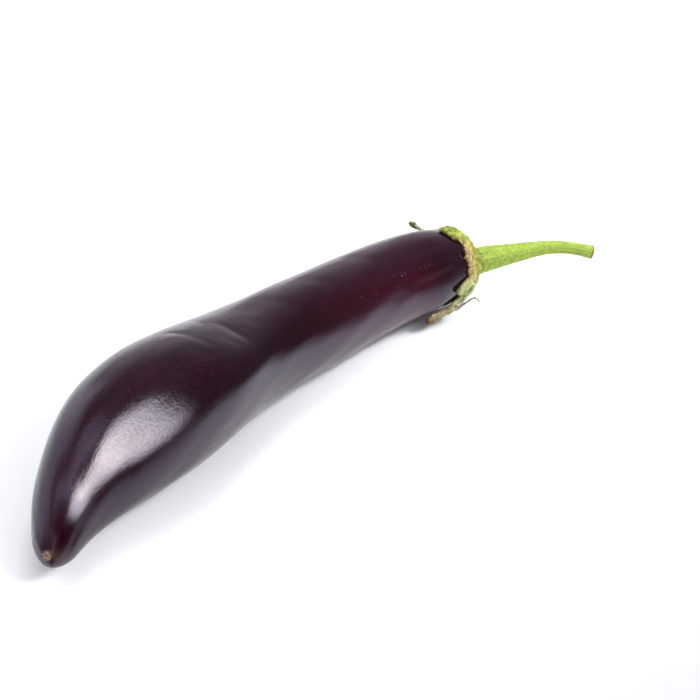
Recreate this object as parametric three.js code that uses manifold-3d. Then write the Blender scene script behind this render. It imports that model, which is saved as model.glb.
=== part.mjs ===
import * as THREE from 'three';
import { mergeVertices } from 'three/addons/utils/BufferGeometryUtils.js';
import Module from 'manifold-3d';

// A long purple eggplant lying on its side: fruit, calyx and stem.
// Millimetres, +X towards the stem, +Z up, resting on z = 0.

// Middle of the bounding box before the whole is moved over the origin
const MIDDLE = [170.6, 32.5];

// Centre line of the fruit from blossom end to stem end: x, y, height, radius
const SPINE = [
  [0, -1, 17, 6],
  [22, 18.5, 17, 15],
  [46.5, 27, 25, 25.4],
  [72, 32.5, 30, 30.4],
  [100.5, 36.5, 28.5, 28.9],
  [129, 41.5, 24.7, 25.1],
  [157.5, 44, 22.8, 23.2],
  [186.5, 45, 22.3, 22.7],
  [215.5, 46, 20.8, 21.2],
  [244, 44, 21.6, 20.2],
  [269.5, 35, 23.4, 20.3],
  [298, 19.5, 24.2, 20],
];

// Rounded ends of the fruit
const NOSE_LENGTH = 11.5;
const SHOULDER_START = 249;
const SHOULDER_LENGTH = 43.5;
const SHOULDER_POWER = 3.4;
const SHOULDER_RADIUS = 20.2;

// Scar of the flower: a low knot a little above the tip, its middle and the way it faces
const SCAR_PLACE = [0.1, 1.4, 19.8];
const SCAR_FACING = [-0.79, -0.22, 0.57];
const SCAR_RADIUS = 2;
const SCAR_RISE = 0.5;

// Slow swells of the skin: size, turns round the body, length of one wave, phase in degrees
const SWELLS = [
  [0.012, 2, 420, 40],
  [0.008, 3, 260, 150],
  [0.006, 1, 95, 70],
];

// Shallow hollows in the skin: distance along, angle round, depth, length, width in degrees
// A negative depth is a low swelling
const HOLLOWS = [
  [13, 142, 1.2, 11, 26],
  [22, 166, 1, 28, 29],
  [63, 122, 2, 20, 21],
  [83, 197, -0.6, 28, 15],
  [103, 95, -0.7, 20, 18],
  [103, 137, 0.5, 16, 18],
  [132, 102, 0.8, 9, 14],
  [152, 86, 0.6, 12, 14],
  [205, 150, 0.5, 18, 20],
  [284, 205, 2.6, 12, 36],
];

// Calyx: a cap over the shoulder, its edge measured from the middle of the stem end along the skin
const GAP = 0.35;
const CAP_THICKNESS = 1.9;
const EDGE_THICKNESS = 0.9;
const CAP_INSIDE = 1.5;
const CAP_OUTSIDE = 7.5;
const EDGE_REACH = 20.5;
const LOBE_ROOT = 15.4;
const EDGE_THINNING = 0.6;
const EDGE_ROLL = 0.9;
const EDGE_LIFT = 0.2;
const EDGE_WAVES = [
  [0.6, 9, 20],
  [0.45, 19, 100],
  [0.3, 31, 0],
];
const HUB_RADIUS = 6.4;
const HUB_SHIFT = 1.2;
const HUB_RINGS = [
  [1.2, 2.5],
  [1.06, 3.4],
  [1, 5],
];

// Lobes: angle round, length, half width in degrees, lift of the tip
const LOBES = [
  [74, 7.5, 34, 0.3],
  [181, 9, 18, 1],
  [216, 12, 20, 1],
  [290, 18, 27, 0.6],
  [21, 12, 22, 0.6],
];

// Rolled tip of the far lobe and the dried curl: x, y, z, radius
const ROLLED_TIP = [
  [271.4, 52.7, 32.9, 0.8],
  [269.8, 54.1, 33, 0.8],
  [268.8, 55.4, 33.4, 0.8],
  [267.8, 57.3, 34, 1],
  [267.1, 59.1, 34.7, 1.6],
  [266.5, 60.4, 35.1, 1.5],
  [266.1, 61.4, 35.4, 0.7],
];
const DRIED_CURL = [
  [260.9, 21.2, 9.2, 0.9],
  [262.3, 20.3, 9.4, 0.9],
  [264.1, 19.7, 10.6, 0.7],
  [266, 19, 11.8, 0.6],
  [267.8, 18.3, 13.2, 0.45],
  [270.1, 17.3, 14.6, 0.4],
  [271, 16.1, 14.5, 0.4],
  [271.1, 14.4, 13.2, 0.35],
];

// Dried lobe that hangs off the lower side, a flat strip on edge: x, y, z, half its width
const DRIED_LOBE = [
  [262.5, 20.6, 10.4, 0.9],
  [260.5, 20.9, 9.6, 1.4],
  [257.7, 21.6, 9.3, 1.7],
  [254.2, 22.2, 9, 2],
  [250.3, 23, 8.1, 2.4],
  [247.2, 23.9, 7.4, 2.4],
  [245.2, 24.4, 7.3, 1.9],
];
const LOBE_FLATNESS = 0.36;

// Centre line of the stem: x, y, z, radius
const STEM = [
  [280.5, 28.9, 24.9, 6.4],
  [287.5, 26, 26, 6],
  [294, 23, 26.3, 5.2],
  [304.3, 19.6, 26.2, 4.3],
  [315.7, 16, 26, 3.5],
  [326, 11.2, 25.2, 3.1],
  [334, 6, 23.7, 3],
  [340, 1, 22, 3.4],
];
const STEM_RIBS = 5;
const STEM_RIB_SIZE = 0.06;
const STEM_TWIST = 2;

// Fineness of the faceted solids
const FRUIT_ROUND = 44;
const NOSE_RINGS = 9;
const BODY_RINGS = 25;
const SHOULDER_RINGS = 13;
const CALYX_ROUND = 96;
const LOBE_ROWS = 8;
const CAP_ROWS = 3;
const TIP_MESH = [12, 10];
const CURL_MESH = [20, 8];
const DRIED_MESH = [14, 14];
const SCAR_ROUND = 20;
const STEM_MESH = [20, 25];
const CURVE_STEPS = 600;
const OUTLINE_STEPS = 400;
const OUTLINE_SPAN = 0.2;
const HEADING_SPAN = 8;

// Block below the ground, taken off the fruit so that it has a flat strip to rest on
const GROUND = [500, 200, 20];

const wasm = await Module();
wasm.setup();

const rad = (degrees) => (degrees * Math.PI) / 180;
const mix = (a, b, f) => a + (b - a) * f;

// Smooth curve near a list of points, ending on the first and last one
function smoothCurve(points, t) {
  const last = points.length - 1;
  const i = Math.min(Math.floor(t), last - 1);
  const w = t - i;
  const weights = [
    (1 - w) ** 3,
    3 * w ** 3 - 6 * w ** 2 + 4,
    -3 * w ** 3 + 3 * w ** 2 + 3 * w + 1,
    w ** 3,
  ];
  const at = (k, c) => {
    if (k < 0) return 2 * points[0][c] - points[1][c];
    if (k > last) return 2 * points[last][c] - points[last - 1][c];
    return points[k][c];
  };
  return points[0].map((_, c) => weights.reduce((sum, weight, j) => sum + weight * at(i - 1 + j, c), 0) / 6);
}

// Table of the curve by running length, so that any distance along it gives a point and a direction
function measured(points) {
  const rows = [];
  let length = 0;
  for (let i = 0; i <= CURVE_STEPS; i += 1) {
    const p = smoothCurve(points, ((points.length - 1) * i) / CURVE_STEPS);
    if (i > 0) {
      const q = rows[i - 1].p;
      length += Math.hypot(p[0] - q[0], p[1] - q[1], p[2] - q[2]);
    }
    rows.push({ p, length });
  }
  return rows;
}

function along(rows, distance) {
  let i = rows.findIndex((row) => row.length > distance);
  if (i < 0) i = rows.length - 1;
  i = Math.max(i, 1);
  const [a, b] = [rows[i - 1], rows[i]];
  const f = (distance - a.length) / (b.length - a.length);
  const p = a.p.map((v, c) => mix(v, b.p[c], f));
  const before = rows[Math.max(i - HEADING_SPAN, 0)].p;
  const after = rows[Math.min(i + HEADING_SPAN, rows.length) - 1].p;
  const ahead = new THREE.Vector3(...after).sub(new THREE.Vector3(...before)).normalize();
  const side = new THREE.Vector3(0, 0, 1).cross(ahead).normalize();
  const up = new THREE.Vector3().crossVectors(ahead, side);
  return { centre: new THREE.Vector3(p[0], p[1], p[2]), radius: p[3], ahead, side, up };
}

const spine = measured(SPINE);
const foot = along(spine, SHOULDER_START + SHOULDER_LENGTH);

// Swells and hollows as a share of the radius and as a depth
function skinRadius(radius, distance, angle) {
  let share = 1;
  for (const [size, turns, wave, phase] of SWELLS) {
    share += size * Math.cos(turns * angle + (2 * Math.PI * distance) / wave + rad(phase));
  }
  let depth = 0;
  for (const [place, round, deep, length, width] of HOLLOWS) {
    const off = Math.atan2(Math.sin(angle - rad(round)), Math.cos(angle - rad(round)));
    depth += deep * Math.exp(-(((distance - place) / length) ** 2) - (off / rad(width)) ** 2);
  }
  return radius * share - depth;
}

// Point on the skin, or a given offset outside it
function bodyPoint(distance, angle, offset, shrink = 1) {
  const f = along(spine, distance);
  const reach = (skinRadius(f.radius, distance, angle) + offset) * shrink;
  return f.centre.clone()
    .addScaledVector(f.side, reach * Math.cos(angle))
    .addScaledVector(f.up, reach * Math.sin(angle));
}

// The shoulder's outline by distance over the skin from the middle of the stem end
const shoulder = [];
for (let i = 0; i <= OUTLINE_STEPS; i += 1) {
  const turn = (Math.PI / 2) * (1 - i / OUTLINE_STEPS);
  const row = {
    place: SHOULDER_START + SHOULDER_LENGTH * Math.sin(turn) ** (2 / SHOULDER_POWER),
    share: Math.max(Math.cos(turn), 0) ** (2 / SHOULDER_POWER),
    reach: 0,
  };
  if (i > 0) {
    const before = shoulder[i - 1];
    const rise = SHOULDER_RADIUS * (row.share - before.share);
    row.reach = before.reach + Math.hypot(row.place - before.place, rise);
  }
  shoulder.push(row);
}
const SHOULDER_REACH = shoulder[shoulder.length - 1].reach;

function outline(reach) {
  if (reach >= SHOULDER_REACH) return { place: SHOULDER_START - (reach - SHOULDER_REACH), share: 1 };
  const i = Math.max(shoulder.findIndex((row) => row.reach > reach), 1);
  const [a, b] = [shoulder[i - 1], shoulder[i]];
  const f = (reach - a.reach) / (b.reach - a.reach);
  return { place: mix(a.place, b.place, f), share: mix(a.share, b.share, f) };
}

// Point on the stem end of the fruit at a distance from its middle, or a given offset outside it
function stemEndPoint(reach, angle, offset) {
  const { place, share } = outline(reach);
  const near = outline(Math.max(reach - OUTLINE_SPAN, 0));
  const far = outline(reach + OUTLINE_SPAN);
  const lean = SHOULDER_RADIUS * (far.share - near.share);
  const outward = new THREE.Vector2(lean, near.place - far.place).normalize();
  const f = along(spine, place);
  const radial = skinRadius(f.radius, place, angle) * share + offset * outward.y;
  return f.centre.clone()
    .addScaledVector(f.ahead, offset * outward.x)
    .addScaledVector(f.side, radial * Math.cos(angle))
    .addScaledVector(f.up, radial * Math.sin(angle));
}

// The nose turns from its tip (turn 0) to the side of the body (turn 90 degrees)
function nosePoint(turn, angle) {
  return bodyPoint(NOSE_LENGTH * (1 - Math.cos(turn)), angle, 0, Math.sin(turn));
}

// Closed solid from rings of points, with a fan over each end
function loft(rings) {
  const round = rings[0].length;
  const points = rings.flat();
  const triangles = [];
  for (let i = 0; i < rings.length - 1; i += 1) {
    for (let j = 0; j < round; j += 1) {
      const a = i * round + j;
      const b = i * round + ((j + 1) % round);
      triangles.push(a, b, a + round, b, b + round, a + round);
    }
  }
  const fan = (ring, start, flip) => {
    const middle = new THREE.Vector3();
    ring.forEach((p) => middle.addScaledVector(p, 1 / round));
    points.push(middle);
    for (let j = 0; j < round; j += 1) {
      const [a, b] = [start + j, start + ((j + 1) % round)];
      triangles.push(points.length - 1, flip ? a : b, flip ? b : a);
    }
  };
  fan(rings[0], 0, false);
  fan(rings[rings.length - 1], (rings.length - 1) * round, true);
  return new wasm.Manifold(new wasm.Mesh({
    numProp: 3,
    vertProperties: new Float32Array(points.flatMap((p) => [p.x, p.y, p.z])),
    triVerts: new Uint32Array(triangles),
  }));
}

const ring = (count, point) => Array.from({ length: count }, (_, j) => point((2 * Math.PI * j) / count));

// Tube along a curve, with an optional pattern of ribs
function tube(points, rings, round, section = () => 1) {
  const rows = measured(points);
  const total = rows[rows.length - 1].length;
  return loft(Array.from({ length: rings + 1 }, (_, i) => {
    const f = along(rows, (total * i) / rings);
    return ring(round, (angle) => f.centre.clone()
      .addScaledVector(f.side, f.radius * section(angle, i / rings) * Math.cos(angle))
      .addScaledVector(f.up, f.radius * section(angle, i / rings) * Math.sin(angle)));
  }));
}

function fruitSolid() {
  const rings = [];
  for (let i = 1; i <= NOSE_RINGS; i += 1) {
    rings.push(ring(FRUIT_ROUND, (angle) => nosePoint((Math.PI / 2) * (i / NOSE_RINGS), angle)));
  }
  for (let i = 1; i <= BODY_RINGS; i += 1) {
    const distance = mix(NOSE_LENGTH, SHOULDER_START, i / BODY_RINGS);
    rings.push(ring(FRUIT_ROUND, (angle) => bodyPoint(distance, angle, 0)));
  }
  for (let i = 1; i < SHOULDER_RINGS; i += 1) {
    const reach = SHOULDER_REACH * (1 - i / SHOULDER_RINGS);
    rings.push(ring(FRUIT_ROUND, (angle) => stemEndPoint(reach, angle, 0)));
  }
  const ground = wasm.Manifold.cube(GROUND, true).translate([...MIDDLE, -GROUND[2] / 2]);
  const sunk = SCAR_RISE - SCAR_RADIUS;
  const knot = wasm.Manifold.sphere(SCAR_RADIUS, SCAR_ROUND)
    .translate(SCAR_PLACE.map((v, c) => v + sunk * SCAR_FACING[c]));
  return loft(rings).subtract(ground).add(knot);
}

// How far the calyx reaches over the fruit at an angle, and how far its edge stands off
function lobeAt(angle) {
  let reach = EDGE_REACH;
  let lift = EDGE_LIFT;
  for (const [place, long, half, rise] of LOBES) {
    const off = Math.atan2(Math.sin(angle - rad(place)), Math.cos(angle - rad(place)));
    const share = Math.max(1 - Math.abs(off / rad(half)) ** 1.5, 0);
    reach += long * share ** 1.25;
    lift += rise * share;
  }
  for (const [size, turns, phase] of EDGE_WAVES) {
    reach += size * Math.sin(turns * angle + rad(phase));
  }
  return { reach, lift };
}

function calyxSolid() {
  // Rings from the edge to a circle near the middle of the stem end
  const skin = (end, thickness) => {
    const rings = [];
    for (let i = 0; i <= LOBE_ROWS + CAP_ROWS; i += 1) {
      rings.push(ring(CALYX_ROUND, (angle) => {
        const { reach, lift } = lobeAt(angle);
        const f = Math.min(i / LOBE_ROWS, 1);
        const g = Math.max((i - LOBE_ROWS) / CAP_ROWS, 0);
        const place = mix(mix(reach, LOBE_ROOT, f), end, g);
        return stemEndPoint(place, angle, GAP + lift * (1 - f) ** 2 + thickness(f));
      }));
    }
    return rings;
  };
  const inner = skin(CAP_INSIDE, () => 0).reverse();
  const outer = skin(CAP_OUTSIDE, (f) => (
    mix(EDGE_THICKNESS, CAP_THICKNESS, f ** EDGE_THINNING) + EDGE_ROLL * Math.sin(Math.PI * f)
  ));
  const hub = HUB_RINGS.map(([wide, rise]) => ring(CALYX_ROUND, (angle) => (
    foot.centre.clone()
      .addScaledVector(foot.ahead, rise)
      .addScaledVector(foot.side, HUB_RADIUS * wide * Math.cos(angle))
      .addScaledVector(foot.up, HUB_SHIFT + HUB_RADIUS * wide * Math.sin(angle))
  )));
  const strip = tube(DRIED_LOBE, ...DRIED_MESH, (angle) => (
    1 / Math.hypot(Math.cos(angle) / LOBE_FLATNESS, Math.sin(angle))
  ));
  return loft([...inner, ...outer, ...hub])
    .add(tube(ROLLED_TIP, ...TIP_MESH))
    .add(tube(DRIED_CURL, ...CURL_MESH))
    .add(strip);
}

// The stem starts a hair above the flat end of the calyx
function stemSolid() {
  const seam = foot.ahead.dot(foot.centre) + HUB_RINGS[HUB_RINGS.length - 1][1];
  return tube(STEM, ...STEM_MESH, (angle, f) => (
    1 + STEM_RIB_SIZE * Math.cos(STEM_RIBS * angle + STEM_TWIST * f) * (1 - f / 2)
  )).trimByPlane(foot.ahead.toArray(), seam + GAP);
}

const group = new THREE.Group();
group.name = 'eggplant';

function addPiece(name, solid, colour, roughness) {
  const mesh = solid.getMesh();
  let geometry = new THREE.BufferGeometry();
  geometry.setAttribute('position', new THREE.BufferAttribute(new Float32Array(mesh.vertProperties), 3));
  geometry.setIndex(new THREE.BufferAttribute(new Uint32Array(mesh.triVerts), 1));
  geometry.translate(-MIDDLE[0], -MIDDLE[1], 0);
  geometry = mergeVertices(geometry, 1e-4);
  geometry.computeVertexNormals();
  const material = new THREE.MeshStandardMaterial({ color: colour, roughness, metalness: 0 });
  const piece = new THREE.Mesh(geometry, material);
  piece.name = name;
  group.add(piece);
}

addPiece('fruit', fruitSolid(), 0x2a1422, 0.28);
addPiece('calyx', calyxSolid(), 0x9fae62, 0.7);
addPiece('stem', stemSolid(), 0x97c247, 0.6);

export default group;
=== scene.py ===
import math

import bpy
import numpy as np
from mathutils import Matrix, Quaternion, Vector


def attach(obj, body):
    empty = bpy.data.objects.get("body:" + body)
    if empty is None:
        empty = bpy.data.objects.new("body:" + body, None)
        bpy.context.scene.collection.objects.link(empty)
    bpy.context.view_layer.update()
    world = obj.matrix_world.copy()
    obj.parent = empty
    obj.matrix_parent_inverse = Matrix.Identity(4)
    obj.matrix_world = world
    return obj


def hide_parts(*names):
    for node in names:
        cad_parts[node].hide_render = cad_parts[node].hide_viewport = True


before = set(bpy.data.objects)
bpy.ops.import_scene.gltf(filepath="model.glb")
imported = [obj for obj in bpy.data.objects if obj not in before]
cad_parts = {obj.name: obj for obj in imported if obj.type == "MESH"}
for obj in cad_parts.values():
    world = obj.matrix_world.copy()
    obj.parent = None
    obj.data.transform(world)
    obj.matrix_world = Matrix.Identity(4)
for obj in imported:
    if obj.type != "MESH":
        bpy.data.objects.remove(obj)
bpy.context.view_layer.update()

MM = 0.001

# Middle of the bounding box in the sizes below, where the frame has its origin
MIDDLE = np.array([170.6, 32.5, 0])

# Centre line of the fruit from blossom end to stem end: x, y, height, radius
SPINE = np.array([
    [0, -1, 17, 6],
    [22, 18.5, 17, 15],
    [46.5, 27, 25, 25.4],
    [72, 32.5, 30, 30.4],
    [100.5, 36.5, 28.5, 28.9],
    [129, 41.5, 24.7, 25.1],
    [157.5, 44, 22.8, 23.2],
    [186.5, 45, 22.3, 22.7],
    [215.5, 46, 20.8, 21.2],
    [244, 44, 21.6, 20.2],
    [269.5, 35, 23.4, 20.3],
    [298, 19.5, 24.2, 20],
])

# Rounded ends of the fruit
NOSE_LENGTH = 11.5
SHOULDER_START = 249
SHOULDER_LENGTH = 43.5
SHOULDER_POWER = 3.4
SHOULDER_RADIUS = 20.2

# Blossom scar, a low knot with a pit in it, and the brown stain beside it
SCAR_PLACE = np.array([0.1, 1.4, 19.8])
SCAR_FACING = np.array([-0.79, -0.22, 0.57])
SCAR_SIZE = 2.1
SCAR_RISE = 0.5
SCAR_PIT_SIZE = 0.5
SCAR_PIT_SHARE = 0.6
STAIN_PLACE = np.array([2.6, -1.7, 19.2])
STAIN_SIZE = 3.2

# Slow swells of the skin: share of the radius, turns round the body, length of one wave, phase in degrees
SWELLS = [
    (0.012, 2, 420, 40),
    (0.008, 3, 260, 150),
    (0.006, 1, 95, 70),
]

# Shallow hollows in the skin: distance along, angle round, depth, length, width in degrees
# A negative depth is a low swelling
HOLLOWS = [
    (13, 142, 1.2, 11, 26),
    (22, 166, 1, 28, 29),
    (63, 122, 2, 20, 21),
    (83, 197, -0.6, 28, 15),
    (103, 95, -0.7, 20, 18),
    (103, 137, 0.5, 16, 18),
    (132, 102, 0.8, 9, 14),
    (152, 86, 0.6, 12, 14),
    (205, 150, 0.5, 18, 20),
    (284, 205, 2.6, 12, 36),
]

# Fine ripples of the skin: size in millimetres, turns round, length of one wave, phase in degrees
RIPPLES = [
    (0.07, 5, 61, 10),
    (0.05, 8, 47, 200),
    (0.035, 13, 33, 75),
]

# Finer ripples that fade where the fruit is thinner than this radius
FINE_RIPPLES = [
    (0.008, 19, 90, 130),
    (0.007, 27, -70, 40),
    (0.004, 37, 55, 300),
]
FULL_RADIUS = 26

# Wrinkles across the far side: distance along and angle round at both ends, half width, depth
WRINKLES = [
    (127.5, 82, 133, 118, 2.6, 0.28),
    (106.5, 66, 113, 108, 2.6, 0.3),
    (111.5, 80, 118, 108, 2.2, 0.12),
    (117, 92, 127, 120, 2.8, 0.14),
    (125, 58, 122, 86, 2.6, 0.12),
    (104, 99, 109, 118, 3, 0.12),
    (162, 74, 176, 117, 5, 0.18),
    (141, 90, 149, 112, 3.4, 0.12),
    (190, 72, 200, 104, 5, 0.18),
    (222, 66, 233, 100, 5, 0.16),
]

# Pale scratches: distance along, angle round, half length across the body, half width, strength
SCRATCHES = [
    (242, 130.5, 0.6, 0.3, 0.9),
    (244.5, 129, 0.9, 0.2, 0.6),
    (253.2, 133, 0.66, 0.17, 0.26),
    (255.4, 131, 0.9, 0.17, 0.45),
    (258.4, 131.5, 1.08, 0.17, 0.38),
    (259.6, 130, 0.72, 0.17, 0.22),
    (261.7, 130, 0.96, 0.17, 0.45),
    (263.6, 132, 0.6, 0.17, 0.22),
    (281.5, 127, 1.8, 0.2, 0.4),
    (231, 162, 1.3, 0.2, 0.5),
    (221, 137, 0.5, 0.4, 0.3),
    (237, 141, 0.4, 0.6, 0.3),
    (211, 133, 0.4, 0.5, 0.25),
]
SCRATCH_SLANT = 0.2

# Less shiny spots of the skin: distance along, angle round, length, width in degrees, strength
DULL_SPOTS = [
    (7, 113, 10, 34, 1),
    (262, 139, 14, 24, 0.9),
]

# Calyx: its reach is measured over the skin from the middle of the stem end
GAP = 0.15
CAP_THICKNESS = 1.9
EDGE_THICKNESS = 0.65
EDGE_GROWTH = 0.6
EDGE_ROLL = 0.9
EDGE_LIFT = 0.05
EDGE_REACH = 20.5
LOBE_ROOT = 15.4
CAP_INSIDE = 1.5
CAP_OUTSIDE = 7.5

# Hub of the calyx round the foot of the stem: share of its radius and rise of each ring
HUB_RADIUS = 6.4
HUB_SHIFT = 1.2
HUB_REACH = 6
CENTRE_REACH = 2
HUB_RINGS = [(1.2, 2.5), (1.06, 3.4), (1, 5)]

# Lobes: angle round, length, half width in degrees, lift of the tip
LOBES = [
    (74, 7.5, 34, 0.3),
    (181, 9, 18, 1),
    (216, 12, 20, 1),
    (290, 18, 27, 0.6),
    (21, 12, 22, 0.6),
]
LOBE_ROUNDNESS = 1.5
LOBE_TAPER = 1.25

# Ragged edge of the calyx: size, turns round, phase in degrees
EDGE_WAVES = [
    (0.6, 9, 20),
    (0.45, 19, 100),
    (0.3, 31, 0),
    (0.22, 53, 40),
    (0.16, 97, 10),
]

# Crumples of the calyx: size, turns round, waves along in each millimetre, phase in degrees
CRUMPLES = [
    (0.2, 7, 0.9, 0),
    (0.14, 17, -1.6, 80),
    (0.1, 31, 2.4, 30),
    (0.07, 61, 3.7, 150),
]

# Fold in the near lobe: reach at its start, angles where it starts and ends, rise in reach per degree
FOLD_REACH = 19.4
FOLD_FROM = 180
FOLD_TO = 222
FOLD_ENDS = 4
FOLD_SLOPE = 0.1
FOLD_DEPTH = 0.8
FOLD_WIDTH = 0.8

# Rolled tip of the far lobe: x, y, z, radius
ROLLED_TIP = np.array([
    [271.4, 52.7, 32.9, 0.8],
    [269.8, 54.1, 33, 0.8],
    [268.8, 55.4, 33.4, 0.8],
    [267.8, 57.3, 34, 1],
    [267.1, 59.1, 34.7, 1.6],
    [266.5, 60.4, 35.1, 1.5],
    [266.1, 61.4, 35.4, 0.7],
])

# Thin dried curl below the near lobe: x, y, z, radius
DRIED_CURL = np.array([
    [260.9, 21.2, 9.2, 0.9],
    [262.3, 20.3, 9.4, 0.9],
    [264.1, 19.7, 10.6, 0.7],
    [266, 19, 11.8, 0.6],
    [267.8, 18.3, 13.2, 0.45],
    [270.1, 17.3, 14.6, 0.4],
    [271, 16.1, 14.5, 0.4],
    [271.1, 14.4, 13.2, 0.35],
])

# Dried lobe that hangs off the lower side, a flat strip on edge: x, y, z, half its width
DRIED_LOBE = np.array([
    [262.5, 20.6, 10.4, 0.9],
    [260.5, 20.9, 9.6, 1.4],
    [257.7, 21.6, 9.3, 1.7],
    [254.2, 22.2, 9, 2],
    [250.3, 23, 8.1, 2.4],
    [247.2, 23.9, 7.4, 2.4],
    [245.2, 24.4, 7.3, 1.9],
])
STRIP_FLATNESS = 0.36

# Ragged edge of the dried strip: size, waves along, phase
STRIP_WAVES = [
    (0.09, 23, 2),
    (0.07, 47, 0),
    (0.05, 91, 1),
]

# Wrinkles of the dried strip: size, turns round, waves along
STRIP_WRINKLES = [
    (0.1, 5, 9),
    (0.06, 9, -17),
]

# Centre line of the stem: x, y, z, radius
STEM = np.array([
    [280.5, 28.9, 24.9, 6.4],
    [287.5, 26, 26, 6],
    [294, 23, 26.3, 5.2],
    [304.3, 19.6, 26.2, 4.3],
    [315.7, 16, 26, 3.5],
    [326, 11.2, 25.2, 3.1],
    [334, 6, 23.7, 3],
    [340, 1, 22, 3.4],
])
STEM_LENGTH = 66
STEM_RIBS = 5
STEM_RIB_SIZE = 0.06
STEM_TWIST = 2

# Ridges on the ribs: size, turns round, twist; and bumps: size, turns round, waves along
STEM_RIDGES = [(0.018, 13, 5), (0.012, 23, -9), (0.008, 37, 14)]
STEM_BUMPS = [(0.012, 3, 11), (0.01, 5, 23), (0.008, 8, 37)]
BUMP_PHASE = 3

# How finely each piece is divided
FRUIT_COLUMNS = 480
NOSE_ROWS = 49
BODY_ROWS = 720
SHOULDER_ROWS = 240
CALYX_COLUMNS = 720
LOBE_ROWS = 60
CAP_ROWS = 24
STEM_COLUMNS = 144
STEM_ROWS = 220

# Where the skin changes, by distance along the fruit
RED_BEGINS = (150, 235)
RED_ENDS = (248, 276)
WORN_BEGINS = (4, 56)
WORN_ENDS = (84, 120)
STROKES_BEGIN = (40, 80)
BLOOM_ENDS = (120, 170)
NOSE_SOFTENS = (1, 24)
SHOULDER_SOFTENS = (238, 258)
SHOULDER_DULLS = (240, 262)

# Where the calyx changes, by angle round in degrees
FAR_LOBE_ENDS = (88, 104)
TORN_BEGINS = (92, 108)
LIME_ENDS = (92, 120)
TORN_ENDS = (158, 176)
NEAR_LOBE_BEGINS = (160, 174)
NEAR_LOBE_ENDS = (212, 226)

# Cut end of the stem, by distance along it: the brown rim and the pale face
CUT_RIM = (64.6, 65.2)
CUT_FACE = (65.6, 65.9)

# Camera: heading and height of its view in degrees, roll, distance and aim in millimetres
VIEW_HEADING = 39.14
VIEW_ELEVATION = 38
VIEW_ROLL = 9
VIEW_DISTANCE = 828
VIEW_AIM = (206.1, 36.7, 0)
LENS = 90
SENSOR_WIDTH = 36

# Light of the room as the skin mirrors it: heading, elevation, half width, half height, soft edge, strength
ROOM_LIGHT = 0.12
ROOM_TINT = (0.95, 0.92, 1)
ROOM_PATCHES = [
    (45, 0, 18, 12, 52, 0.85),
    (-65, 0, 14, 6, 8, 0.8),
    (90, 90, 180, 32, 16, 0.25),
]

# Points that the lamps face, in metres
LIT_POINT = Vector((-0.09, 0, 0.03))
TIP_POINT = Vector((-0.16, -0.05, 0))
NECK_POINT = Vector((0.09, -0.04, 0))
FAR_POINT = Vector((0.7, 0.55, 0))

# Lamps that the skin mirrors: heading, elevation, distance, width, height, radiance, tint, roll
MIRRORED_LAMPS = {
    "key_softbox": (-80, 44, 0.6, 0.66, 0.39, 20, (1, 1, 1), -29),
    "side_panel": (112, 18, 2, 2.08, 1.3, 1.25, (0.95, 0.9, 1), 0),
    "left_panel": (158, 60, 2, 1.2, 0.75, 1.25, (1, 0.86, 0.98), 0),
    "upper_panel": (-166, 70, 2, 0.36, 0.5, 1.9, (1, 1, 1), 0),
}

# Lamps that only light the scene: heading, elevation, distance, width, height, radiance, tint, aim, spread
FILL_LAMPS = {
    "key_fill": (-92, 50, 1.5, 1.3, 1.5, 0.55, (1, 1, 1), LIT_POINT, 180),
    "neck_fill": (-40, 50, 0.5, 0.2, 0.2, 1.3, (1, 1, 1), NECK_POINT, 28),
    "tip_fill": (-60, 50, 0.5, 0.2, 0.2, 0.85, (1, 1, 1), TIP_POINT, 28),
    "top_fill": (112, 54, 3, 4.4, 4.4, 1.7, (0.97, 0.98, 1), LIT_POINT, 180),
    "far_fill": (39, 70, 2, 1.4, 1.4, 0.9, (1, 1, 1), FAR_POINT, 38),
}

# Uneven glow of the key softbox, in shares of its width and height
KEY_FADE = (0.1, 1)
KEY_BRIGHT = 0.8
KEY_DIM = 0.47
KEY_SPOT = (0.16, 0.5)
KEY_SPOT_SIZE = 0.28
KEY_SPOT_GLOW = 1.15
KEY_SPOT_WARMTH = (0.1, 0.5)
KEY_CORNER = (1.36, 1.5)
LAMP_COOL = (1, 0.95, 0.86, 1)
LAMP_WARM = (1, 0.91, 0.72, 1)

# Floor: half its width in metres, and its colour
FLOOR_HALF = 6
FLOOR_WHITE = (0.91, 0.92, 0.945, 1)


def colour(red, green, blue):
    """Linear colour from red, green and blue as they look in the photo, 0 to 255."""
    parts = [part / 255 for part in (red, green, blue)]
    return (*(p / 12.92 if p <= 0.04045 else ((p + 0.055) / 1.055) ** 2.4 for p in parts), 1.0)


SKIN_DARK = colour(28, 5, 13)
SKIN_PURPLE = colour(35, 6, 17)
SKIN_RED = colour(50, 6, 22)
SKIN_SPECK = colour(78, 58, 70)
SKIN_SCRATCH = colour(100, 76, 88)
SKIN_STAIN = colour(74, 56, 46)
SCAR_BROWN = colour(88, 64, 52)
SCAR_TAN = colour(150, 120, 100)
CALYX_GREEN = (colour(98, 106, 34), colour(166, 182, 84))
CALYX_OLIVE = (colour(86, 80, 32), colour(168, 170, 76))
CALYX_PALE = (colour(118, 126, 66), colour(182, 188, 132))
TORN_YELLOW = colour(194, 182, 102)
TORN_PINK = colour(198, 166, 128)
TORN_BROWN = colour(98, 70, 32)
TORN_LIME = colour(176, 184, 70)
# Painted shade: darker green laid along the crease of the near lobe's fold
FOLD_PAINTED_SHADE = colour(58, 62, 26)
RIM_BROWN = colour(84, 70, 34)
STRIP_TAN = (colour(116, 98, 62), colour(180, 164, 126))
STRIP_OLIVE = (colour(84, 78, 38), colour(138, 124, 70))
STRIP_RUST = colour(112, 76, 46)
CURL_GREY = (colour(96, 92, 92), colour(176, 172, 168))
ROLLED_CREAM = (colour(96, 88, 58), colour(190, 184, 150))
STEM_GREEN = (colour(128, 150, 52), colour(152, 176, 72))
STEM_LINE = colour(104, 124, 40)
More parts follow.
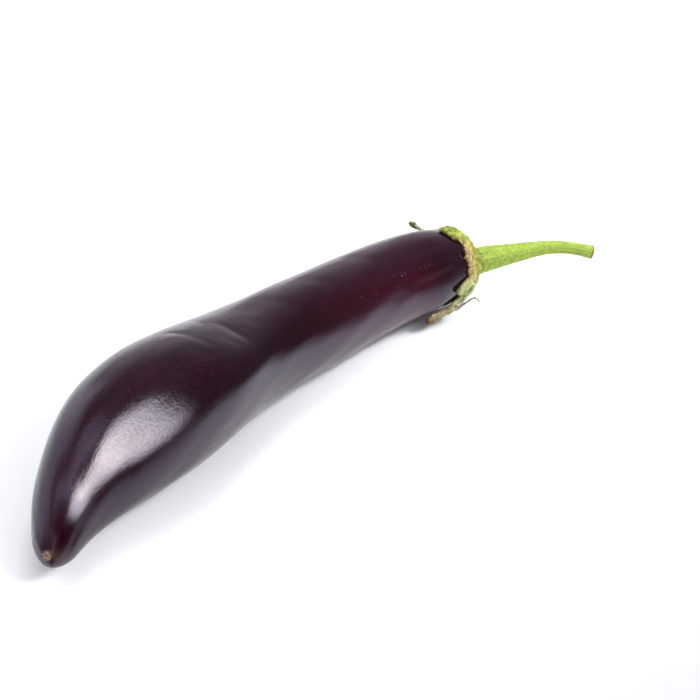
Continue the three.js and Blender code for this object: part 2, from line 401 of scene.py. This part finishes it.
STEM_SPOT = colour(104, 96, 44)
CUT_BROWN = colour(122, 104, 50)
CUT_PALE = colour(206, 204, 150)


# Curves

def smooth_curve(points, t):
    """Smooth curve near a list of points, ending on the first and last one."""
    padded = np.vstack([2 * points[0] - points[1], points, 2 * points[-1] - points[-2]])
    i = np.minimum(np.floor(t).astype(int), len(points) - 2)
    w = (t - i)[:, None]
    return (
        (1 - w) ** 3 * padded[i]
        + (3 * w ** 3 - 6 * w ** 2 + 4) * padded[i + 1]
        + (-3 * w ** 3 + 3 * w ** 2 + 3 * w + 1) * padded[i + 2]
        + w ** 3 * padded[i + 3]
    ) / 6


class Line:
    """A curve that gives centre, radius and directions at any distance along it."""

    def __init__(self, points, steps=600):
        self.rows = smooth_curve(points, np.linspace(0, len(points) - 1, steps + 1))
        hops = np.linalg.norm(np.diff(self.rows[:, :3], axis=0), axis=1)
        self.length = np.concatenate([[0], np.cumsum(hops)])
        ahead = np.gradient(self.rows[:, :3], self.length, axis=0)
        self.ahead = ahead / np.linalg.norm(ahead, axis=1)[:, None]

    def pick(self, table, distance):
        return np.stack([np.interp(distance, self.length, column) for column in table.T], -1)

    def at(self, distance):
        """Centre, radius and the directions ahead, aside and up at a distance."""
        rows = self.pick(self.rows, distance)
        ahead = self.pick(self.ahead, distance)
        side = np.cross([0, 0, 1], ahead)
        side = side / np.linalg.norm(side, axis=-1, keepdims=True)
        return rows[..., :3], rows[..., 3], ahead, side, np.cross(ahead, side)


spine = Line(SPINE)


def ring_angles(columns):
    return np.arange(columns) * 2 * np.pi / columns


def turned_off(angle, bearing):
    """Angle from a bearing in degrees, at most half a turn either way."""
    off = angle - math.radians(bearing)
    return np.arctan2(np.sin(off), np.cos(off))


def around(centre, side, up, reach, angle):
    return centre + reach[..., None] * (np.cos(angle)[..., None] * side + np.sin(angle)[..., None] * up)


# Form of the fruit

def skin_wave(distance, angle, turns, length, phase):
    return np.cos(turns * angle + 2 * np.pi * distance / length + math.radians(phase))


def skin_radius(radius, distance, angle):
    """Radius with swells, less the depth of hollows, ripples and wrinkles."""
    share = 1
    for size, *wave in SWELLS:
        share = share + size * skin_wave(distance, angle, *wave)
    depth = 0
    for place, bearing, deep, length, width in HOLLOWS:
        off = turned_off(angle, bearing) / math.radians(width)
        depth = depth + deep * np.exp(-((distance - place) / length) ** 2 - off ** 2)
    for size, *wave in RIPPLES:
        depth = depth + size * skin_wave(distance, angle, *wave)
    fullness = (radius / FULL_RADIUS) ** 2
    for size, *wave in FINE_RIPPLES:
        depth = depth + fullness * size * skin_wave(distance, angle, *wave)
    for start, first, end, last, width, deep in WRINKLES:
        middle, half = (first + last) / 2, (last - first) / 2
        along = turned_off(angle, middle) / math.radians(half)
        centre = (start + end) / 2 + (end - start) / 2 * along
        depth = depth + deep * np.exp(-((distance - centre) / width) ** 2 - along ** 4)
    return radius * share - depth


def body_point(distance, angle, shrink=1):
    centre, radius, _, side, up = spine.at(distance)
    return around(centre, side, up, skin_radius(radius, distance, angle) * shrink, angle)


def nose_place(turn):
    return NOSE_LENGTH * (1 - np.cos(turn))


def nose_point(turn, angle):
    return body_point(nose_place(turn), angle, np.sin(turn))


# Outline of the shoulder by distance over the skin from the middle of the stem end
OUTLINE_STEPS = 401
OUTLINE_TURN = np.linspace(math.pi / 2, 0, OUTLINE_STEPS)
OUTLINE_PLACE = SHOULDER_START + SHOULDER_LENGTH * np.sin(OUTLINE_TURN) ** (2 / SHOULDER_POWER)
OUTLINE_SHARE = np.cos(OUTLINE_TURN).clip(0) ** (2 / SHOULDER_POWER)
OUTLINE_HOPS = np.hypot(np.diff(OUTLINE_PLACE), SHOULDER_RADIUS * np.diff(OUTLINE_SHARE))
OUTLINE_REACH = np.concatenate([[0], np.cumsum(OUTLINE_HOPS)])
SHOULDER_REACH = OUTLINE_REACH[-1]
LEAN_STEP = 0.2


def outline(reach):
    """Distance along the fruit and share of its radius at a reach from the middle of the stem end."""
    beyond = reach >= SHOULDER_REACH
    on_body = SHOULDER_START - (reach - SHOULDER_REACH)
    place = np.where(beyond, on_body, np.interp(reach, OUTLINE_REACH, OUTLINE_PLACE))
    return place, np.where(beyond, 1, np.interp(reach, OUTLINE_REACH, OUTLINE_SHARE))


def stem_end_point(reach, angle, offset):
    """Point that stands off the skin near the stem end by an offset."""
    place, share = outline(reach)
    near_place, near_share = outline(np.maximum(reach - LEAN_STEP, 0))
    far_place, far_share = outline(reach + LEAN_STEP)
    lean = SHOULDER_RADIUS * (far_share - near_share)
    stand = near_place - far_place
    size = np.hypot(lean, stand)
    centre, radius, ahead, side, up = spine.at(place)
    radial = skin_radius(radius, place, angle) * share + offset * stand / size
    return around(centre + (offset * lean / size)[..., None] * ahead, side, up, radial, angle)


# Meshes

def grid_faces(rows, columns):
    """Quads between rings that close round."""
    i, j = np.meshgrid(np.arange(rows - 1), np.arange(columns), indexing="ij")
    a = i * columns + j
    b = i * columns + (j + 1) % columns
    return np.stack([a, b, b + columns, a + columns], -1).reshape(-1, 4)


def ring_solid(rings):
    """Points and faces of a closed solid from a stack of rings."""
    rows, columns = rings.shape[:2]
    points = np.vstack([rings.reshape(-1, 3), rings[0].mean(0), rings[-1].mean(0)])
    first, last = rows * columns, rows * columns + 1
    faces = [tuple(f) for f in grid_faces(rows, columns)]
    for j in range(columns):
        k = (j + 1) % columns
        faces.append((first, k, j))
        faces.append((last, (rows - 1) * columns + j, (rows - 1) * columns + k))
    return points, faces


def on_columns(values, rows, ends=(0, 0)):
    """A value per column for every point of a ring solid, and one for each end point."""
    return np.append(np.tile(values, rows), ends)


def on_rows(values, columns, ends):
    """A value per ring for every point of a ring solid, and one for each end point."""
    return np.append(np.repeat(values, columns), ends)


def make_object(name, points, faces, material, **attributes):
    """Mesh object from points in millimetres, with a number per point for each named attribute."""
    mesh = bpy.data.meshes.new(name)
    mesh.from_pydata(((points - MIDDLE) * MM).tolist(), [], [tuple(int(k) for k in f) for f in faces])
    for key, values in attributes.items():
        layer = mesh.attributes.new(key, "FLOAT", "POINT")
        layer.data.foreach_set("value", np.asarray(values, np.float32))
    mesh.polygons.foreach_set("use_smooth", [True] * len(mesh.polygons))
    mesh.materials.append(material)
    mesh.update()
    piece = bpy.data.objects.new(name, mesh)
    bpy.context.scene.collection.objects.link(piece)
    return piece


# Shader fields

class Field:
    """Something that a shader works out for each point, and that can be added and multiplied."""

    def __init__(self, tree, socket):
        self.tree = tree
        self.socket = socket

    def __add__(self, other):
        return maths("ADD", self, other)

    def __sub__(self, other):
        return maths("SUBTRACT", self, other)

    def __rsub__(self, other):
        return maths("SUBTRACT", other, self)

    def __mul__(self, other):
        return maths("MULTIPLY", self, other)

    __radd__ = __add__
    __rmul__ = __mul__


def add_node(tree, kind, **values):
    node = tree.nodes.new(kind)
    for key, value in values.items():
        if key in node.inputs.keys():
            node.inputs[key].default_value = value
        else:
            setattr(node, key, value)
    return node


def feed(socket, value):
    """Join a socket to a field, or set it to a number or colour."""
    if isinstance(value, Field):
        value.tree.links.new(value.socket, socket)
    else:
        socket.default_value = value


def maths(operation, a, b=0):
    tree = (a if isinstance(a, Field) else b).tree
    node = add_node(tree, "ShaderNodeMath", operation=operation)
    feed(node.inputs[0], a)
    feed(node.inputs[1], b)
    return Field(tree, node.outputs[0])


def ramp(field, low, high, start=0, end=1):
    """Smooth step from start to end while a field goes from low to high."""
    node = add_node(field.tree, "ShaderNodeMapRange", interpolation_type="SMOOTHSTEP")
    feed(node.inputs["Value"], field)
    for key, number in (("From Min", low), ("From Max", high), ("To Min", start), ("To Max", end)):
        feed(node.inputs[key], number)
    return Field(field.tree, node.outputs["Result"])


def mix_colour(share, first, second):
    node = add_node(share.tree, "ShaderNodeMix", data_type="RGBA")
    factor, first_socket, second_socket = (node.inputs[i] for i in (0, 6, 7))
    feed(factor, share)
    feed(first_socket, first)
    feed(second_socket, second)
    return Field(share.tree, node.outputs[2])


def noise(space, scale, detail=2, roughness=0.5):
    node = add_node(space.tree, "ShaderNodeTexNoise", Scale=scale, Detail=detail, Roughness=roughness)
    feed(node.inputs["Vector"], space)
    return Field(space.tree, node.outputs["Fac"])


def attribute(tree, name):
    return Field(tree, add_node(tree, "ShaderNodeAttribute", attribute_name=name).outputs["Fac"])


def split(tree, socket):
    """The three numbers of a place or direction."""
    node = add_node(tree, "ShaderNodeSeparateXYZ")
    tree.links.new(socket, node.inputs[0])
    return [Field(tree, part) for part in node.outputs]


def object_space(tree):
    return Field(tree, add_node(tree, "ShaderNodeTexCoord").outputs["Object"])


def round_space(tree, along):
    """Space that runs round a piece and, in its third number, along it."""
    node = add_node(tree, "ShaderNodeCombineXYZ")
    for socket, part in zip(node.inputs, (attribute(tree, "round_x"), attribute(tree, "round_y"), along)):
        feed(socket, part)
    return Field(tree, node.outputs[0])


def skin_space(tree, stretch):
    return round_space(tree, attribute(tree, "place") * stretch)


# Materials

def new_material(name):
    material = bpy.data.materials.new(name)
    material.use_nodes = True
    return material, material.node_tree, material.node_tree.nodes["Principled BSDF"]


def add_bump(shader, height, strength, distance):
    bump = add_node(height.tree, "ShaderNodeBump", Strength=strength, Distance=distance)
    feed(bump.inputs["Height"], height)
    feed(shader.inputs["Normal"], Field(height.tree, bump.outputs["Normal"]))


def rough_surface(shader, base, height, roughness, strength, distance):
    """Matt surface with a base colour and fine relief from a height pattern."""
    feed(shader.inputs["Base Color"], base)
    feed(shader.inputs["Roughness"], roughness)
    feed(shader.inputs["Specular IOR Level"], 0.2)
    add_bump(shader, height, strength, distance)


def skin_colour(tree):
    """Dark purple, redder near the stem, with specks, scratches, the scar and its stain."""
    place = attribute(tree, "place")
    blotches = noise(skin_space(tree, 0.012), 1.6, 3)
    streaks = noise(skin_space(tree, 0.004), 9, 3, 0.6)
    specks = noise(skin_space(tree, 0.045), 34, 2, 0.6)
    flecks = noise(object_space(tree), 900, 3, 0.7)
    red = ramp(place, *RED_BEGINS) * ramp(place, *RED_ENDS, 1, 0)
    red = red * ramp(streaks, 0.2, 0.65, 0.6, 1)
    red = red * ramp(attribute(tree, "round_x"), -0.6, -0.2, 1, 0.2)
    scar = mix_colour(ramp(flecks, 0.35, 0.65), SCAR_BROWN, SCAR_TAN)
    base = mix_colour(ramp(blotches, 0.35, 0.7), SKIN_DARK, SKIN_PURPLE)
    base = mix_colour(red, base, SKIN_RED)
    base = mix_colour(ramp(specks, 0.61, 0.71, 0, 0.26), base, SKIN_SPECK)
    base = mix_colour(attribute(tree, "scratch"), base, SKIN_SCRATCH)
    base = mix_colour(0.5 * attribute(tree, "stain"), base, SKIN_STAIN)
    return mix_colour(ramp(attribute(tree, "scar"), 0.4, 0.7), base, scar)


def skin_roughness(tree):
    """Smooth and waxy, rougher at both ends, on the scratches and on the scar."""
    place = attribute(tree, "place")
    rough = 0.07 + 0.1 * noise(skin_space(tree, 0.05), 14, 4)
    rough = rough + 0.4 * attribute(tree, "scratch") + 0.5 * attribute(tree, "scar")
    return rough + ramp(place, *NOSE_SOFTENS, 0.12, 0) + ramp(place, *SHOULDER_SOFTENS, 0, 0.08)


def skin_wear(tree):
    """Height of fine hairlines and pits, and the shine that they and the bloom below leave."""
    place = attribute(tree, "place")
    hairs = noise(skin_space(tree, 0.012), 44, 3, 0.6)
    pits = noise(skin_space(tree, 0.03), 22, 3, 0.6)
    strokes = noise(skin_space(tree, 0.08), 19, 3, 0.6)
    worn = ramp(place, *WORN_BEGINS, 0.4, 1) * ramp(place, *WORN_ENDS, 1, 0)
    worn = worn * ramp(attribute(tree, "round_x"), -0.97, -0.82, 0.25, 1)
    across = worn * ramp(place, *STROKES_BEGIN, 0.4, 1.7)
    height = hairs * (worn + 0.4) + pits + strokes * across
    bloom = ramp(attribute(tree, "round_y"), -0.35, 0.15, 1, 0) * ramp(place, *BLOOM_ENDS, 1, 0)
    gloss = ramp(place, *SHOULDER_DULLS, 0.5, 0.4) - across * ramp(strokes, 0.35, 0.65, 0.08, 0)
    return height, gloss * (1 - attribute(tree, "dull")) * (1 - 0.3 * bloom)


def fruit_material():
    material, tree, shader = new_material("fruit_skin")
    height, gloss = skin_wear(tree)
    feed(shader.inputs["Base Color"], skin_colour(tree))
    feed(shader.inputs["Roughness"], skin_roughness(tree))
    feed(shader.inputs["Specular IOR Level"], gloss)
    feed(shader.inputs["Specular Tint"], (0.76, 0.76, 1, 1))
    feed(shader.inputs["IOR"], 1.53)
    add_bump(shader, height, 0.3, 0.0002)
    return material


def calyx_material():
    """Green near the stem and on the far lobe, torn and pinkish along the top, pale on the near lobe, with
    painted shade along the fold in it.
    """
    material, tree, shader = new_material("calyx_green")
    edge, reach, bearing = (attribute(tree, key) for key in ("edge", "reach", "bearing"))
    mottled = noise(object_space(tree), 420, 4, 0.65)
    fibres = noise(round_space(tree, reach * 0.55), 5.5, 4, 0.6)
    green = mix_colour(ramp(mottled, 0.35, 0.7), *CALYX_GREEN)
    olive = mix_colour(ramp(fibres, 0.4, 0.65), *CALYX_OLIVE)
    pale = mix_colour(ramp(mottled, 0.3, 0.65), *CALYX_PALE)
    torn = mix_colour(ramp(edge, 0.12, 0.42, 1, 0), TORN_YELLOW, TORN_PINK)
    torn = mix_colour(ramp(fibres, 0.38, 0.58), TORN_BROWN, torn)
    torn = mix_colour(ramp(bearing, *LIME_ENDS, 1, 0) * ramp(mottled, 0.45, 0.6), torn, TORN_LIME)
    far_lobe = ramp(reach, 15, 18) * ramp(bearing, *FAR_LOBE_ENDS, 1, 0)
    torn_edge = ramp(bearing, *TORN_BEGINS) * ramp(bearing, *TORN_ENDS, 1, 0) * ramp(reach, 14.5, 17.5)
    near_lobe = ramp(bearing, *NEAR_LOBE_BEGINS) * ramp(bearing, *NEAR_LOBE_ENDS, 1, 0)
    near_lobe = near_lobe * ramp(reach, 13, 17)
    base = mix_colour(ramp(reach, 12, 17), green, olive)
    base = mix_colour(far_lobe, base, green)
    base = mix_colour(torn_edge, base, torn)
    base = mix_colour(near_lobe, base, pale)
    # Painted shade along the crease of the fold in the near lobe
    base = mix_colour(0.9 * attribute(tree, "fold"), base, FOLD_PAINTED_SHADE)
    base = mix_colour(0.7 * ramp(edge, 0, 0.1, 1, 0), base, RIM_BROWN)
    rough_surface(shader, base, fibres + mottled, 0.6, 0.7, 0.0005)
    return material


def strip_material():
    """Tan strip with an olive lower edge and rusty ends."""
    material, tree, shader = new_material("dried_lobe")
    along = attribute(tree, "along")
    mottled = noise(object_space(tree), 600, 4, 0.65)
    grain = ramp(mottled, 0.35, 0.65)
    lower, upper = mix_colour(grain, *STRIP_OLIVE), mix_colour(grain, *STRIP_TAN)
    base = mix_colour(ramp(attribute(tree, "upper"), -0.75, 0.1), lower, upper)
    base = mix_colour(ramp(along + 0.2 * mottled, 0.96, 1.06), base, STRIP_RUST)
    base = mix_colour(ramp(along, 0.14, 0.04), base, STRIP_RUST)
    rough_surface(shader, base, mottled, 0.7, 0.8, 0.0005)
    return material


def dry_material(name, colours, scale, low, high, roughness, strength, distance):
    """Matt surface mottled in two colours."""
    material, tree, shader = new_material(name)
    mottled = noise(object_space(tree), scale, 3, 0.6)
    base = mix_colour(ramp(mottled, low, high), *colours)
    rough_surface(shader, base, mottled, roughness, strength, distance)
    return material


def stem_material():
    """Green with fine lines along it, brown spots, and a pale cut end in a brown rim."""
    material, tree, shader = new_material("stem_green")
    place = attribute(tree, "place")
    mottled = noise(object_space(tree), 500, 4, 0.65)
    lines = noise(round_space(tree, place * 0.03), 6, 3)
    spots = noise(object_space(tree), 900, 2)
    base = mix_colour(ramp(mottled, 0.3, 0.7), *STEM_GREEN)
    base = mix_colour(0.4 * ramp(lines, 0.5, 0.75), base, STEM_LINE)
    base = mix_colour(0.6 * ramp(spots, 0.66, 0.74), base, STEM_SPOT)
    base = mix_colour(ramp(place, *CUT_RIM), base, CUT_BROWN)
    base = mix_colour(ramp(place, *CUT_FACE), base, CUT_PALE)
    rough_surface(shader, base, lines + mottled, 0.5, 0.5, 0.0003)
    return material


def floor_material():
    material, _, shader = new_material("white_floor")
    feed(shader.inputs["Base Color"], FLOOR_WHITE)
    feed(shader.inputs["Roughness"], 0.9)
    feed(shader.inputs["Specular IOR Level"], 0.1)
    return material


# Fruit

def finish_piece(piece, node):
    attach(piece, "root")
    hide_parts(node)


def scratch_share(place, turn):
    """How near a point lies to one of the scratches, from 0 to 1."""
    share = 0 * place
    for along, bearing, half_length, half_width, strength in SCRATCHES:
        across = SHOULDER_RADIUS * turned_off(turn, bearing)
        off = (place - along - SCRATCH_SLANT * across) / half_width
        share = np.maximum(share, strength * np.exp(-off ** 2 - (across / half_length) ** 4))
    return share


def dull_share(place, turn):
    """How much a point lacks of the skin's shine, from 0 to 1."""
    share = 0 * place
    for along, bearing, length, width, strength in DULL_SPOTS:
        off = turned_off(turn, bearing) / math.radians(width)
        share = np.maximum(share, strength * np.exp(-((place - along) / length) ** 4 - off ** 4))
    return share


def build_fruit():
    angle = ring_angles(FRUIT_COLUMNS)
    turns = np.linspace(0, np.pi / 2, NOSE_ROWS)[1:]
    places = np.linspace(NOSE_LENGTH, SHOULDER_START, BODY_ROWS)[1:]
    reaches = np.linspace(SHOULDER_REACH, 0, SHOULDER_ROWS)[1:-1]
    no_offset = np.zeros((len(reaches), FRUIT_COLUMNS))
    rings = np.concatenate([
        nose_point(*np.meshgrid(turns, angle, indexing="ij")),
        body_point(*np.meshgrid(places, angle, indexing="ij")),
        stem_end_point(*np.meshgrid(reaches, angle, indexing="ij"), no_offset),
    ])
    rings[..., 2] = rings[..., 2].clip(0)
    points, faces = ring_solid(rings)

    row_place = np.concatenate([nose_place(turns), places, outline(reaches)[0]])
    place = on_rows(row_place, FRUIT_COLUMNS, (0, row_place[-1]))
    turn = on_columns(angle, len(row_place))
    from_scar = np.linalg.norm(points - SCAR_PLACE, axis=1)
    scar = np.exp(-(from_scar / SCAR_SIZE) ** 4)
    pit = SCAR_PIT_SHARE * np.exp(-(from_scar / SCAR_PIT_SIZE) ** 2)
    points = points + SCAR_RISE * (scar * (1 - pit))[:, None] * SCAR_FACING
    from_stain = np.linalg.norm(points - STAIN_PLACE, axis=1)
    piece = make_object(
        "eggplant_fruit", points, faces, fruit_material(),
        place=place,
        round_x=on_columns(np.cos(angle), len(row_place)),
        round_y=on_columns(np.sin(angle), len(row_place)),
        scar=scar,
        stain=np.exp(-(from_stain / STAIN_SIZE) ** 2),
        scratch=scratch_share(place, turn),
        dull=dull_share(place, turn),
    )
    finish_piece(piece, "fruit")


# Calyx

def lobe_at(angle):
    """Reach of the calyx edge and its lift off the skin."""
    reach = EDGE_REACH + 0 * angle
    lift = EDGE_LIFT + 0 * angle
    for bearing, long, half, rise in LOBES:
        off = np.abs(turned_off(angle, bearing) / math.radians(half))
        share = np.maximum(1 - off ** LOBE_ROUNDNESS, 0)
        reach = reach + long * share ** LOBE_TAPER
        lift = lift + rise * share
    for size, turns, phase in EDGE_WAVES:
        reach = reach + size * np.sin(turns * angle + math.radians(phase))
    return reach, lift


def fold_share(reach, angle):
    """How near a point lies to the fold of the near lobe, from 0 to 1."""
    degrees = np.degrees(angle) % 360
    off = (reach - FOLD_REACH - FOLD_SLOPE * (degrees - FOLD_FROM)) / FOLD_WIDTH
    after_start = np.clip((degrees - FOLD_FROM) / FOLD_ENDS + 1, 0, 1)
    before_end = np.clip((FOLD_TO - degrees) / FOLD_ENDS + 1, 0, 1)
    return np.exp(-off ** 2) * (after_start * before_end)


def outer_offset(offset, reach, angle, inward):
    """Offset of the outside: the thickness with its rolled edge, less the fold, and the crumples."""
    thickness = EDGE_THICKNESS + (CAP_THICKNESS - EDGE_THICKNESS) * inward ** EDGE_GROWTH
    thickness = thickness + EDGE_ROLL * np.sin(np.pi * inward)
    offset = offset + thickness - FOLD_DEPTH * fold_share(reach, angle)
    for size, turns, waves, phase in CRUMPLES:
        offset = offset + size * np.sin(turns * angle + waves * reach + math.radians(phase))
    return offset


def calyx_side(end, outside):
    """Rings of one side from the edge to an end reach, with reach and way inward of each point."""
    angle = ring_angles(CALYX_COLUMNS)
    edge, lift = lobe_at(angle)
    lobe_rows = np.linspace(0, 1, LOBE_ROWS)[:, None]
    cap_rows = np.linspace(0, 1, CAP_ROWS)[1:, None]
    reach = np.concatenate([
        edge + (LOBE_ROOT - edge) * lobe_rows,
        LOBE_ROOT + (end - LOBE_ROOT) * cap_rows + 0 * angle,
    ])
    inward = np.concatenate([lobe_rows, np.ones_like(cap_rows)]) + 0 * reach
    angle = angle + 0 * reach
    offset = GAP + lift * (1 - inward) ** 2
    if outside:
        offset = outer_offset(offset, reach, angle, inward)
    return stem_end_point(reach, angle, offset), reach, inward


def build_calyx():
    inner, inner_reach, inner_edge = (rows[::-1] for rows in calyx_side(CAP_INSIDE, outside=False))
    outer, outer_reach, outer_edge = calyx_side(CAP_OUTSIDE, outside=True)
    angle = ring_angles(CALYX_COLUMNS)
    foot, _, ahead, side, up = spine.at(np.array(SHOULDER_START + SHOULDER_LENGTH))
    hub = np.array([
        around(foot + rise * ahead + HUB_SHIFT * up, side, up, HUB_RADIUS * wide + 0 * angle, angle)
        for wide, rise in HUB_RINGS
    ])
    points, faces = ring_solid(np.concatenate([inner, outer, hub]))
    hub_rows = np.ones((len(hub), CALYX_COLUMNS))
    reach = np.concatenate([inner_reach, outer_reach, HUB_REACH * hub_rows])
    edge = np.concatenate([inner_edge, outer_edge, hub_rows])
    calyx = make_object(
        "eggplant_calyx", points, faces, calyx_material(),
        edge=np.append(edge, [1, 1]),
        reach=np.append(reach, [CENTRE_REACH, CENTRE_REACH]),
        bearing=on_columns(np.degrees(angle), len(reach)),
        fold=np.append(fold_share(reach, angle + 0 * reach), [0, 0]),
        round_x=on_columns(np.cos(angle), len(reach), (1, 1)),
        round_y=on_columns(np.sin(angle), len(reach)),
    )
    finish_piece(calyx, "calyx")


# Strands and stem

def round_section(angle, f):
    return 1 + 0 * angle


def strip_section(angle, f):
    """Flat section with a ragged edge and wrinkles, by share of the strip's length."""
    flat = 1 / np.hypot(np.cos(angle) / STRIP_FLATNESS, np.sin(angle))
    ragged = 1
    for size, waves, phase in STRIP_WAVES:
        ragged = ragged + size * np.sin(waves * f + phase)
    for size, turns, waves in STRIP_WRINKLES:
        ragged = ragged + size * np.sin(turns * angle + waves * f)
    return flat * ragged


def stem_section(angle, f):
    """Ribs that fade along the stem with ridges and bumps on them, by share of its length."""
    section = 1 + STEM_RIB_SIZE * np.cos(STEM_RIBS * angle + STEM_TWIST * f) * (1 - f / 2)
    for size, turns, twist in STEM_RIDGES:
        section = section + size * np.cos(turns * angle + twist * f)
    for size, turns, waves in STEM_BUMPS:
        section = section + size * np.cos(turns * angle + BUMP_PHASE) * np.sin(2 * np.pi * waves * f)
    return section


def tube_rings(path, rows, columns, section):
    line = Line(path)
    f = np.linspace(0, 1, rows)[:, None]
    angle = ring_angles(columns)[None]
    centre, radius, _, side, up = line.at(f[:, 0] * line.length[-1])
    reach = radius[:, None] * section(angle, f)
    return around(centre[:, None], side[:, None], up[:, None], reach, angle + 0 * f)


def add_strand(name, path, rows, columns, material, section=round_section):
    """Dried part of the calyx that stands off it along a path."""
    points, faces = ring_solid(tube_rings(path, rows, columns, section))
    piece = make_object(
        name, points, faces, material,
        along=on_rows(np.linspace(0, 1, rows), columns, (0, 1)),
        upper=on_columns(np.sin(ring_angles(columns)), rows),
    )
    finish_piece(piece, "calyx")


def build_strands():
    cream = dry_material("rolled_tip", ROLLED_CREAM, 520, 0.4, 0.62, 0.65, 0.7, 0.0005)
    grey = dry_material("dried_curl", CURL_GREY, 900, 0.35, 0.65, 0.7, 0.6, 0.0004)
    add_strand("rolled_tip", ROLLED_TIP, 60, 24, cream)
    add_strand("dried_curl", DRIED_CURL, 90, 16, grey)
    add_strand("dried_lobe", DRIED_LOBE, 120, 64, strip_material(), strip_section)


def build_stem():
    points, faces = ring_solid(tube_rings(STEM, STEM_ROWS, STEM_COLUMNS, stem_section))
    angle = ring_angles(STEM_COLUMNS)
    piece = make_object(
        "eggplant_stem", points, faces, stem_material(),
        place=on_rows(np.linspace(0, STEM_LENGTH, STEM_ROWS), STEM_COLUMNS, (0, STEM_LENGTH)),
        round_x=on_columns(np.cos(angle), STEM_ROWS),
        round_y=on_columns(np.sin(angle), STEM_ROWS),
    )
    finish_piece(piece, "stem")


# Studio

def build_floor():
    mesh = bpy.data.meshes.new("studio_floor")
    corners = [(x * FLOOR_HALF, y * FLOOR_HALF, 0) for x, y in ((-1, -1), (1, -1), (1, 1), (-1, 1))]
    mesh.from_pydata(corners, [], [(0, 1, 2, 3)])
    mesh.materials.append(floor_material())
    floor = bpy.data.objects.new("studio_floor", mesh)
    bpy.context.scene.collection.objects.link(floor)


def direction(heading, elevation):
    h, e = math.radians(heading), math.radians(elevation)
    return Vector((math.cos(h) * math.cos(e), math.sin(h) * math.cos(e), math.sin(e)))


def add_lamp(name, heading, elevation, distance, width, height, radiance, tint,
             roll=0, aim=LIT_POINT, spread=180, mirrored=True):
    """Area lamp that faces a point, either one that the skin mirrors or one that only lights the scene."""
    light = bpy.data.lights.new(name, "AREA")
    light.shape = "RECTANGLE"
    light.size, light.size_y = width, height
    light.energy = radiance * width * height * math.pi
    light.color = tint
    light.spread = math.radians(spread)
    lamp = bpy.data.objects.new(name, light)
    lamp.location = aim + distance * direction(heading, elevation)
    facing = (aim - lamp.location).to_track_quat("-Z", "Y")
    lamp.rotation_euler = (facing @ Quaternion((0, 0, 1), math.radians(roll))).to_euler()
    lamp.visible_glossy = mirrored
    lamp.visible_diffuse = not mirrored
    bpy.context.scene.collection.objects.link(lamp)
    return light


def fade_softbox(light):
    """Uneven glow of a softbox: it fades across its width and is brightest near the bulb."""
    light.use_nodes = True
    tree = light.node_tree
    across, along, _ = split(tree, add_node(tree, "ShaderNodeNewGeometry").outputs["Parametric"])
    off_x, off_y = across - KEY_SPOT[0], along - KEY_SPOT[1]
    off = maths("SQRT", off_x * off_x + off_y * off_y)
    fade = ramp(across, *KEY_FADE, KEY_BRIGHT, KEY_DIM)
    glow = ramp(off, 0, KEY_SPOT_SIZE, KEY_SPOT_GLOW, 0)
    corner = ramp(across + along, *KEY_CORNER, 1, 0)
    emission = tree.nodes["Emission"]
    feed(emission.inputs["Strength"], (fade + glow) * corner)
    feed(emission.inputs["Color"], mix_colour(ramp(off, *KEY_SPOT_WARMTH, 1, 0), LAMP_COOL, LAMP_WARM))


def build_lamps():
    for name, (*place_and_size, tint, roll) in MIRRORED_LAMPS.items():
        light = add_lamp(name, *place_and_size, tint, roll=roll)
        if name == "key_softbox":
            fade_softbox(light)
    for name, (*place_and_size, tint, aim, spread) in FILL_LAMPS.items():
        add_lamp(name, *place_and_size, tint, aim=aim, spread=spread, mirrored=False)


def room_patch(x, y, z, heading, elevation, half_width, half_height, soft, strength):
    """Soft patch of the room's light round one direction, in degrees."""
    turn = math.radians(heading)
    ahead = x * math.cos(turn) + y * math.sin(turn)
    aside = y * math.cos(turn) - x * math.sin(turn)
    off = maths("ABSOLUTE", maths("ARCTAN2", aside, ahead))
    rise = maths("ABSOLUTE", maths("ARCSINE", z) - math.radians(elevation))
    wide = ramp(off, math.radians(half_width), math.radians(half_width + soft), strength, 0)
    tall = ramp(rise, math.radians(half_height), math.radians(half_height + soft), 1, 0)
    return wide * tall


def build_world():
    world = bpy.data.worlds.new("studio")
    bpy.context.scene.world = world
    world.use_nodes = True
    tree = world.node_tree
    facing = split(tree, add_node(tree, "ShaderNodeTexCoord").outputs["Generated"])
    strength = ROOM_LIGHT
    for patch in ROOM_PATCHES:
        strength = strength + room_patch(*facing, *patch)
    background = tree.nodes["Background"]
    feed(background.inputs["Strength"], strength)
    feed(background.inputs["Color"], (*ROOM_TINT, 1))


def build_camera():
    roll = math.radians(VIEW_ROLL)
    forward = direction(VIEW_HEADING, -VIEW_ELEVATION)
    level = direction(VIEW_HEADING - 90, 0)
    upward = level.cross(forward)
    right = math.cos(roll) * level + math.sin(roll) * upward
    top = -math.sin(roll) * level + math.cos(roll) * upward
    data = bpy.data.cameras.new("photo_view")
    data.lens = LENS
    data.sensor_width = SENSOR_WIDTH
    camera = bpy.data.objects.new("photo_view", data)
    aim = Vector((np.array(VIEW_AIM) - MIDDLE) * MM)
    place = aim - forward * VIEW_DISTANCE * MM
    turn = Matrix((right, top, -forward)).transposed()
    camera.matrix_world = Matrix.Translation(place) @ turn.to_4x4()
    bpy.context.scene.collection.objects.link(camera)
    bpy.context.scene.camera = camera


build_fruit()
build_calyx()
build_strands()
build_stem()
build_floor()
build_world()
build_lamps()
build_camera()
bpy.context.scene.view_settings.view_transform = "Standard"
